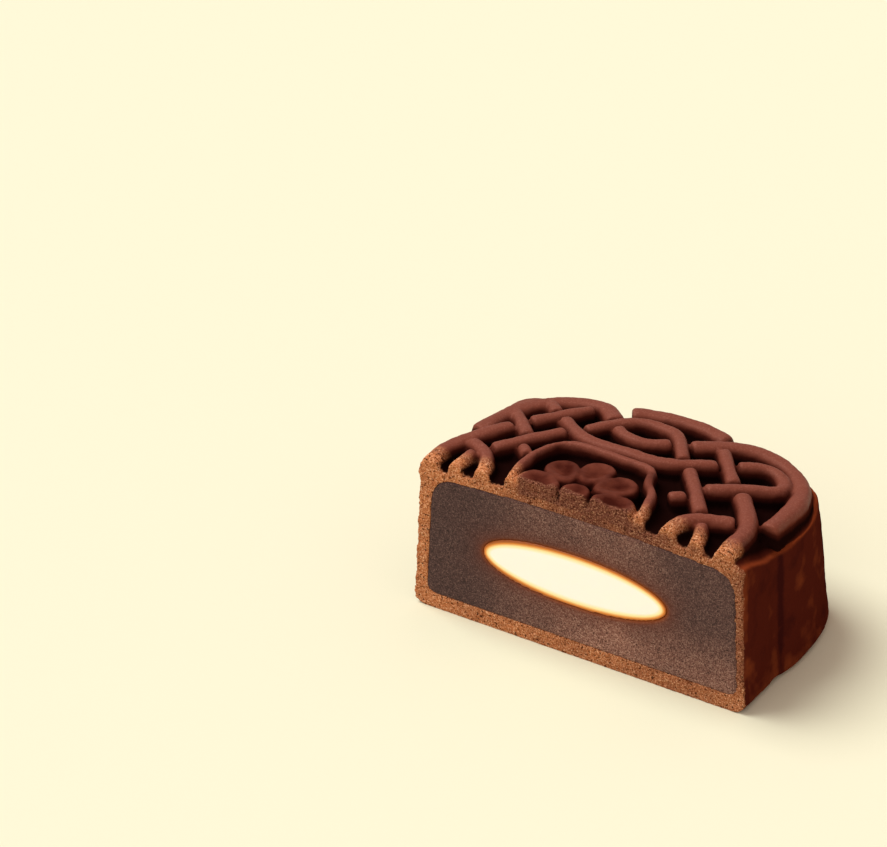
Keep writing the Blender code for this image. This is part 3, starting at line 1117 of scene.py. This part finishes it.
@dataclass(frozen=True)
class BeanPaste:
    """Ground and boiled bean paste: dark, dull and fine-grained, stained orange-brown by the custard."""

    name: str = "bean_paste"
    cool: Band = ((0.38, "#1E1413"), (0.47, "#47322F"), (0.55, "#47322F"), (0.64, "#705850"))
    warm: Band = ((0.38, "#2A1A16"), (0.46, "#845A4C"), (0.54, "#845A4C"), (0.62, "#B8947F"))
    halo: Band = ((0.55, "#5E2C1B"), (1.0, "#8A4410"))
    # The ground bean skins are about half this wide: they are drawn coarse enough to show.
    grains: Pattern = (0.2, 3.0, 0.75)
    clouds: Pattern = (9.0, 3.0, 0.5)
    bump: float = 0.6
    bump_height: float = 0.12
    roughness: float = 0.6
    gloss: float = 0.15

    def build(self) -> bpy.types.Material:
        """Makes the material.

        Returns:
            The material, which reads the filling's marks.
        """
        material, shader = new_material(self.name)
        node = partial(add_node, material)
        spot = node("TexCoord", out="Object")
        halo, toast = (
            node("Attribute", out="Fac", attribute_name=key.value) for key in (Mark.HALO, Mark.TONE)
        )
        grains, clouds = (
            node("TexNoise", {"Vector": spot, "Scale": 1 / (size * MM), "Detail": detail, "Roughness": rough})
            for size, detail, rough in (self.grains, self.clouds)
        )
        share = node("Math", {0: toast, 1: clouds}, operation="MULTIPLY")
        cool, warm = (node("ValToRGB", {"Fac": grains}, band) for band in (self.cool, self.warm))
        stain = node("ValToRGB", {"Fac": halo}, self.halo)
        mix = partial(node, "Mix", out=2, data_type="RGBA")
        paste = mix({"Factor": share, 6: cool, 7: warm})
        colour = mix({"Factor": halo, 6: paste, 7: stain})
        depth = self.bump_height * MM
        bump = node("Bump", {"Strength": self.bump, "Distance": depth, "Height": grains})
        material.node_tree.links.new(colour, shader.inputs["Base Color"])
        material.node_tree.links.new(bump, shader.inputs["Normal"])
        shader.inputs["Roughness"].default_value = self.roughness
        shader.inputs["Specular IOR Level"].default_value = self.gloss
        return material


@dataclass(frozen=True)
class EggCustard:
    """Set egg custard: pale, smooth and moist, browned where it meets the paste."""

    name: str = "egg_custard"
    browning: Band = ((0.3, "#FFFEF0"), (0.72, "#FDE9A0"), (0.91, "#E08A2C"), (1.0, "#9A4E12"))
    roughness: float = 0.4
    ior: float = 1.4
    glow: float = 0.15
    glow_reach: Place = (0.002, 0.0014, 0.0008)

    def build(self) -> bpy.types.Material:
        """Makes the material.

        Returns:
            The material, which reads the custard's mark.
        """
        material, shader = new_material(self.name)
        halo = add_node(material, "Attribute", out="Fac", attribute_name=Mark.HALO.value)
        colour = add_node(material, "ValToRGB", {"Fac": halo}, self.browning)
        material.node_tree.links.new(colour, shader.inputs["Base Color"])
        shader.inputs["Roughness"].default_value = self.roughness
        shader.inputs["IOR"].default_value = self.ior
        shader.inputs["Subsurface Weight"].default_value = self.glow
        shader.inputs["Subsurface Radius"].default_value = self.glow_reach
        return material


# ---------------------------------------------------------------------------------------------
# Pieces
# ---------------------------------------------------------------------------------------------


def dress(piece: bpy.types.Object, material: bpy.types.Material, node: Node) -> None:
    """Gives a piece its material and its place in the frame.

    Args:
        piece: the piece.
        material: its material.
        node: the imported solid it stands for.
    """
    piece.data.materials.clear()
    piece.data.materials.append(material)
    pick(piece)
    bpy.ops.object.shade_smooth()
    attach(piece, "root")
    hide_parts(node.value)
    LOG.info("%s: %d faces", piece.name, len(piece.data.polygons))


@dataclass(frozen=True)
class CrustMarks:
    """Where the crust is relief, wall, ledge or crumb, and how dark or warm each place is coloured, with
    painted light and shade on the wall.
    """

    form: CakeForm
    plaque_aside: Span = (9.0, 10.4)
    plaque_back: Span = (11.5, 12.8)
    plaque_dulling: float = 0.14
    wall_below: Span = (0.2, 1.4)
    wall_within: Span = (-3.4, -2.0)
    wall_sure: float = -1.5
    # Where the ledge's edge gets its painted highlight.
    ledge_width: float = 0.28
    ledge_within: Span = (-1.4, -0.7)
    tear: Lumps = Lumps(0.35, 0.6, 23.0)
    rag: Lumps = Lumps(0.5, 2.2, 29.0)
    crumb_to: Span = (0.1, 0.3)
    top_below: float = 0.6
    top_crumb_to: Span = (0.25, 0.7)
    torn_height: Span = (0.2, 0.6)
    torn_to: Span = (1.2, 3.6)
    least: float = 0.12
    rightward: float = 0.3
    rightward_span: Span = (-26.0, 28.0)
    middle: float = 0.7
    middle_x: float = 3.0
    middle_width: float = 16.0
    middle_height: Span = (20.0, 27.0)
    right_wall: float = 0.35
    right_wall_span: Span = (26.0, 28.5)
    right_wall_height: Span = (3.0, 8.0)
    strands_paler: float = 0.5
    strands_height: Span = (0.1, 0.5)
    plaque: float = 0.4
    # Painted bounce light: the wall is warmer and lighter towards its foot, near the table.
    painted_bounce_light: float = 0.8
    painted_bounce_height: Span = (1.0, 9.0)
    # Painted highlight: a lighter band on the wall just behind the cut.
    near_cut: float = 0.5
    painted_highlight_y: float = 1.0
    painted_highlight_width: float = 1.6
    # Painted shade: the wall is darker along the grooves between the lobes.
    groove: float = 1.3
    groove_shade_width: float = 0.55
    groove_aside: float = 20.0
    groove_back: float = 30.0
    outside_y: float = 1.5
    mottle: Lumps = Lumps(0.25, 3.0, 31.0)

    def relief(self, at: Spots) -> np.ndarray:
        """How high each point stands, from 0 at the relief's floor to 1 at the strands' tops."""
        floor = self.form.floor(at.x, at.y)
        return smoothstep(0.0, 1.0, (at.z - floor) / (self.form.crown(at.x, at.y) - floor))

    def in_plaque(self, at: Spots) -> np.ndarray:
        """How surely each point lies in the plaque, from 0 to 1."""
        aside = np.abs(at.x - self.form.relief_x)
        return (1.0 - smoothstep(*self.plaque_aside, aside)) * (1.0 - smoothstep(*self.plaque_back, at.y))

    def on_top(self, at: Spots) -> np.ndarray:
        """1 for points on the relief or its floor, and 0 for others."""
        return (at.z > self.form.floor(at.x, at.y) - self.top_below).astype(float)

    def wall(self, at: Spots) -> tuple[np.ndarray, np.ndarray]:
        """Finds the wall and its ledge.

        Args:
            at: the crust's points.

        Returns:
            How surely each point lies on the wall, and on the ledge's edge, where the finish paints a
            highlight.
        """
        height = self.form.over_ledge(at)
        outside = self.form.wallward(at)
        wall = (1.0 - smoothstep(*self.wall_below, height)) * smoothstep(*self.wall_within, outside)
        wall = np.maximum(wall, (height < self.wall_sure).astype(float))
        return wall, bell(height, 0.0, self.ledge_width) * smoothstep(*self.ledge_within, outside)

    def crumb(self, at: Spots) -> np.ndarray:
        """Finds where the knife has laid the crumb open.

        Args:
            at: the crust's points.

        Returns:
            How surely each point is crumb, with a ragged edge.
        """
        ragged = at.y + self.tear.at(at.points) + self.rag.at(at.points)
        cut = 1.0 - smoothstep(*self.crumb_to, np.minimum(ragged, at.y))
        top = self.on_top(at) * (1.0 - smoothstep(*self.top_crumb_to, ragged))
        torn = smoothstep(*self.torn_height, self.relief(at)) * (1.0 - smoothstep(*self.torn_to, ragged))
        return np.maximum(np.maximum(cut, top), torn * (1.0 - self.in_plaque(at)))

    def toast(self, at: Spots) -> np.ndarray:
        """How dark the crumb is on the cut, and how warm the wall is, with painted bounce light at its foot,
        a painted highlight near the cut and painted shade in the grooves.

        Args:
            at: the crust's points.

        Returns:
            Values between -1 and 1.
        """
        plaque = self.in_plaque(at)
        cut = self.least + self.rightward * smoothstep(*self.rightward_span, at.x)
        middle = bell(at.x, self.middle_x, self.middle_width)
        cut += self.middle * middle * smoothstep(*self.middle_height, at.z)
        right = smoothstep(*self.right_wall_span, at.x)
        cut += self.right_wall * right * smoothstep(*self.right_wall_height, at.z)
        cut -= self.strands_paler * smoothstep(*self.strands_height, self.relief(at)) * (1.0 - plaque)
        cut += self.plaque * plaque * self.on_top(at)
        # Painted bounce light at the wall's foot.
        wall = self.painted_bounce_light * (1.0 - smoothstep(*self.painted_bounce_height, at.z))
        # Painted highlight on the wall near the cut.
        wall += self.near_cut * bell(at.y, self.painted_highlight_y, self.painted_highlight_width)
        aside = np.abs(at.x - self.form.relief_x)
        # Painted shade along the grooves between the lobes.
        grooves = bell(at.y, self.form.side_notch, self.groove_shade_width) * (aside > self.groove_aside)
        grooves += bell(aside, self.form.back_notch, self.groove_shade_width) * (at.y > self.groove_back)
        toast = np.where(at.y > self.outside_y, wall - self.groove * grooves, cut)
        return np.clip(toast + self.mottle.at(at.points), -1.0, 1.0)

    def apply(self, piece: bpy.types.Object) -> None:
        """Stores what the crust's finish reads.

        Args:
            piece: the crust.
        """
        at = self.form.spots(piece)
        wall, ledge = self.wall(at)
        mark(piece, Mark.RELIEF, self.relief(at) * (1.0 - self.plaque_dulling * self.in_plaque(at)))
        mark(piece, Mark.WALL, wall)
        mark(piece, Mark.LEDGE_HIGHLIGHT, ledge)
        mark(piece, Mark.CRUMB, self.crumb(at))
        mark(piece, Mark.TONE, self.toast(at))


@dataclass
class Crust:
    """The moulded crust with its knotwork and flower, hollow for the filling."""

    form: CakeForm
    filling: FillingForm
    voxel: float = 0.25
    soft_factor: float = 0.5
    soft_passes: int = 3
    base_levels: int = 6
    wall_levels: int = 6
    dome_shares: tuple[float, ...] = (0.97, 0.9, 0.8, 0.6, 0.4, 0.2, 0.04)
    ledge_radius: float = 0.5
    ledge_turns: tuple[float, ...] = (30.0, 60.0, 90.0)
    swell: Lumps = Lumps(0.14, 3.4, 3.0)
    ripple: Lumps = Lumps(0.06, 0.9, 7.0)
    skin_from: Span = (0.0, 1.5)
    open_crumb: Span = (0.05, 0.7)
    pits: Lumps = Lumps(1.0, 0.55, 11.0)
    pit_depth: float = 0.22
    pit_shift: float = 0.05
    pit_limit: float = 0.35
    pit_facing: Span = (-0.2, 0.5)
    crumbs: Lumps = Lumps(0.11, 0.275, 17.0)
    hidden_within: float = 0.955
    hidden_lean: float = 0.06
    hidden_below: float = 1.6
    hidden_behind: float = 1.0
    hidden_kept: float = 0.04
    calm_behind: float = 4.0
    calm_off_ledge: float = 0.8
    calm_kept: float = 0.4

    def body(self) -> bpy.types.Object:
        """Models the cake without its relief, up to the domed floor of the relief.

        Returns:
            The closed body of the whole cake.
        """
        form = self.form
        edge = rounded_edge(form.base_rounding, self.base_levels)
        rings = [form.outline(inset, rise) for inset, rise in edge]
        for level in range(1, self.wall_levels + 1):
            share = level / self.wall_levels
            height = form.base_rounding + (form.wall_top - self.ledge_radius - form.base_rounding) * share
            rings.append(form.outline(form.draft * height / form.wall_top, height))
        for turn in self.ledge_turns:
            sine, cosine = math.sin(math.radians(turn)), math.cos(math.radians(turn))
            inset = form.draft + self.ledge_radius * (1 - cosine)
            rings.append(form.outline(inset, form.wall_top - self.ledge_radius * (1 - sine)))
        inset = form.draft + form.ledge_rise + self.ledge_radius
        ledge = form.outline(inset, form.wall_top + form.ledge_rise)
        rings.append(ledge)
        for share in self.dome_shares:
            rings.append([(x * share, y * share, form.floor(x * share, y * share)) for x, y, _ in ledge])
        return sweep("crust_dressed", [form.ring(ring) for ring in rings])

    def roughen(self, piece: bpy.types.Object) -> None:
        """Gives the skin its unevenness and the cut its open crumb.

        Args:
            piece: the crust.
        """
        at, facing = self.form.spots(piece), read_points(piece, "normal")
        crumb = 1.0 - smoothstep(*self.open_crumb, at.y)
        skin = (self.swell.at(at.points) + self.ripple.at(at.points)) * smoothstep(*self.skin_from, at.z)
        pits = self.pit_depth * np.minimum(self.pits.at(at.points) - self.pit_shift, self.pit_limit)
        pits += self.crumbs.at(at.points)
        open_side = smoothstep(*self.pit_facing, -facing[:, 1] + facing[:, 2])
        depth = (1.0 - crumb) * skin + crumb * pits * open_side
        move_points(piece, at.points + facing * (depth * MM)[:, None])

    def hidden(self, piece: bpy.types.Object) -> np.ndarray:
        """Finds the points of the hollow and of the underside, which nothing shows.

        Args:
            piece: the crust.

        Returns:
            True for each such point.
        """
        at, form = self.form.spots(piece), self.form
        reach_x = (np.abs(at.x) / (form.width / 2)) ** form.squareness
        reach_y = (np.abs(at.y) / form.depth) ** form.squareness
        limit = self.hidden_within - self.hidden_lean * at.z / form.wall_top
        within = (reach_x + reach_y) ** (1 / form.squareness) < limit
        below = at.z < form.floor(at.x, at.y) - self.hidden_below
        return within & below & (at.y > self.hidden_behind)

    def calm(self, piece: bpy.types.Object) -> np.ndarray:
        """Finds the points that show, but lie away from the cut's crumb and the ledge's fine line.

        Args:
            piece: the crust.

        Returns:
            True for each such point.
        """
        at = self.form.spots(piece)
        off_ledge = np.abs(self.form.over_ledge(at)) > self.calm_off_ledge
        return (at.y > self.calm_behind) & off_ledge & ~self.hidden(piece)

    def build(self) -> None:
        """Makes the crust as one mesh and dresses it."""
        whole = self.body()
        slice_off(whole, self.form.cut)
        carve(whole, self.filling.build("hollow", 0.0))
        whole = join([whole] + Knotwork(self.form).build() + Blossom(self.form).build())
        modify(whole, "REMESH", mode="VOXEL", voxel_size=self.voxel * MM)
        modify(whole, "SMOOTH", factor=self.soft_factor, iterations=self.soft_passes)
        self.roughen(whole)
        thin_out(whole, self.hidden(whole), self.hidden_kept)
        thin_out(whole, self.calm(whole), self.calm_kept)
        CrustMarks(self.form).apply(whole)
        dress(whole, BakedCocoaDough().build(), Node.CRUST)


@dataclass
class Filling:
    """The bean paste between crust and custard."""

    form: CakeForm
    filling: FillingForm
    custard: CustardForm
    grow: float = 0.12
    voxel: float = 0.32
    stain: float = 1.3
    low_height: Span = (4.0, 15.0)
    warm_span: Span = (-20.0, 2.0)
    warm_most: float = 1.1
    cool_span: Span = (5.0, 19.0)
    cool_most: float = 0.9
    cool_low: float = 0.45
    low_warm: float = 0.5
    low_span: Span = (-22.0, 0.0)
    limit: float = 1.6

    def warmth(self, at: Spots) -> np.ndarray:
        """Finds how warm and pale the paste is: most in the middle and low down.

        Args:
            at: the filling's points.

        Returns:
            Values from 0 up.
        """
        low = 1.0 - smoothstep(*self.low_height, at.z)
        cooling = smoothstep(*self.cool_span, at.x) * (self.cool_most - self.cool_low * low)
        warm = smoothstep(*self.warm_span, at.x) * (self.warm_most - cooling)
        return np.clip(warm + self.low_warm * low * smoothstep(*self.low_span, at.x), 0.0, self.limit)

    def build(self) -> None:
        """Makes the filling as one mesh and dresses it."""
        whole = self.filling.build("filling_dressed", self.grow)
        slice_off(whole, self.form.cut)
        carve(whole, self.custard.build("custard_hollow", 0.0))
        modify(whole, "REMESH", mode="VOXEL", voxel_size=self.voxel * MM)
        at = self.form.spots(whole)
        mark(whole, Mark.HALO, np.exp(-np.maximum(self.custard.distance(at), 0.0) / self.stain))
        mark(whole, Mark.TONE, self.warmth(at))
        dress(whole, BeanPaste().build(), Node.FILLING)


@dataclass
class Custard:
    """The custard core."""

    form: CakeForm
    custard: CustardForm
    grow: float = 0.05
    voxel: float = 0.25
    browned: Span = (-2.4, 0.1)

    def build(self) -> None:
        """Makes the core as one mesh and dresses it."""
        whole = self.custard.build("custard_dressed", self.grow)
        slice_off(whole, self.form.cut)
        modify(whole, "REMESH", mode="VOXEL", voxel_size=self.voxel * MM)
        depth = self.custard.distance(self.form.spots(whole))
        mark(whole, Mark.HALO, smoothstep(*self.browned, depth))
        dress(whole, EggCustard().build(), Node.CUSTARD)


# ---------------------------------------------------------------------------------------------
# Studio
# ---------------------------------------------------------------------------------------------


@dataclass(frozen=True)
class Lamp:
    """A broad, distant lamp: its strength, apparent width, azimuth and elevation in degrees."""

    strength: float
    width: float
    azimuth: float
    elevation: float


@dataclass(frozen=True)
class Studio:
    """Pale floor, soft light and the camera."""

    form: CakeForm
    floor_colour: str = "#DFE0C4"
    floor_size: float = 4.0
    floor_roughness: float = 0.9
    sky_colour: str = "#FFE1DB"
    sky_strength: float = 0.55
    lamps: tuple[Lamp, ...] = (Lamp(2.8, 34.0, -80.0, 60.0), Lamp(0.7, 60.0, -5.0, 25.0))
    camera_place: Place = (169.4, -310.1, 246.3)
    camera_azimuth: float = 32.0
    camera_elevation: float = 30.0
    lens: float = 109.6
    sensor: float = 36.0
    nearest: float = 0.01

    def floor(self) -> None:
        """The table top that the cake stands on."""
        bpy.ops.object.select_all(action="DESELECT")
        bpy.ops.mesh.primitive_plane_add(size=self.floor_size)
        plane = bpy.context.object
        plane.name = "table"
        # Uncoated cream card: matt, so the cake throws a soft shadow and no reflection.
        material, shader = new_material("cream_card")
        shader.inputs["Base Color"].default_value = linear(self.floor_colour)
        shader.inputs["Roughness"].default_value = self.floor_roughness
        shader.inputs["Specular IOR Level"].default_value = 0.0
        plane.data.materials.append(material)

    def light(self) -> None:
        """A broad lamp from the left, a weaker one from the front and an even sky."""
        scene = bpy.context.scene
        scene.world = bpy.data.worlds.new("sky")
        scene.world.use_nodes = True
        backdrop = scene.world.node_tree.nodes["Background"]
        backdrop.inputs["Color"].default_value = linear(self.sky_colour)
        backdrop.inputs["Strength"].default_value = self.sky_strength
        for settings in self.lamps:
            bpy.ops.object.light_add(type="SUN")
            lamp = bpy.context.object
            lamp.data.energy = settings.strength
            lamp.data.angle = math.radians(settings.width)
            lamp.rotation_euler = self.turned(settings.azimuth, settings.elevation)

    @staticmethod
    def turned(azimuth: float, elevation: float) -> Euler:
        """Turns a lamp or camera towards the cake.

        Args:
            azimuth: where it stands, in degrees from the cut's front towards the right.
            elevation: how high it stands, in degrees.

        Returns:
            Its rotation.
        """
        around, up = math.radians(azimuth), math.radians(elevation)
        back = Vector((math.sin(around) * math.cos(up), -math.cos(around) * math.cos(up), math.sin(up)))
        return back.to_track_quat("Z", "Y").to_euler()

    def camera(self) -> None:
        """The camera, turned towards the object from its front right."""
        place = self.form.place(*self.camera_place)
        turn = self.turned(self.camera_azimuth, self.camera_elevation)
        bpy.ops.object.camera_add(location=place, rotation=turn)
        camera = bpy.context.object
        camera.data.lens = self.lens
        camera.data.sensor_width = self.sensor
        camera.data.clip_start = self.nearest
        bpy.context.scene.camera = camera

    def build(self) -> None:
        """Sets up floor, light and camera."""
        self.floor()
        self.light()
        self.camera()
        bpy.context.scene.view_settings.view_transform = "Standard"


def main() -> None:
    """Builds the dressed cake and the studio round it."""
    logging.basicConfig(level=logging.INFO, format="%(relativeCreated)d %(message)s")
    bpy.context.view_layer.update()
    form = CakeForm()
    filling, custard = FillingForm(form), CustardForm(form)
    Crust(form, filling).build()
    Filling(form, filling, custard).build()
    Custard(form, custard).build()
    Studio(form).build()


if __name__ == "__main__":
    main()
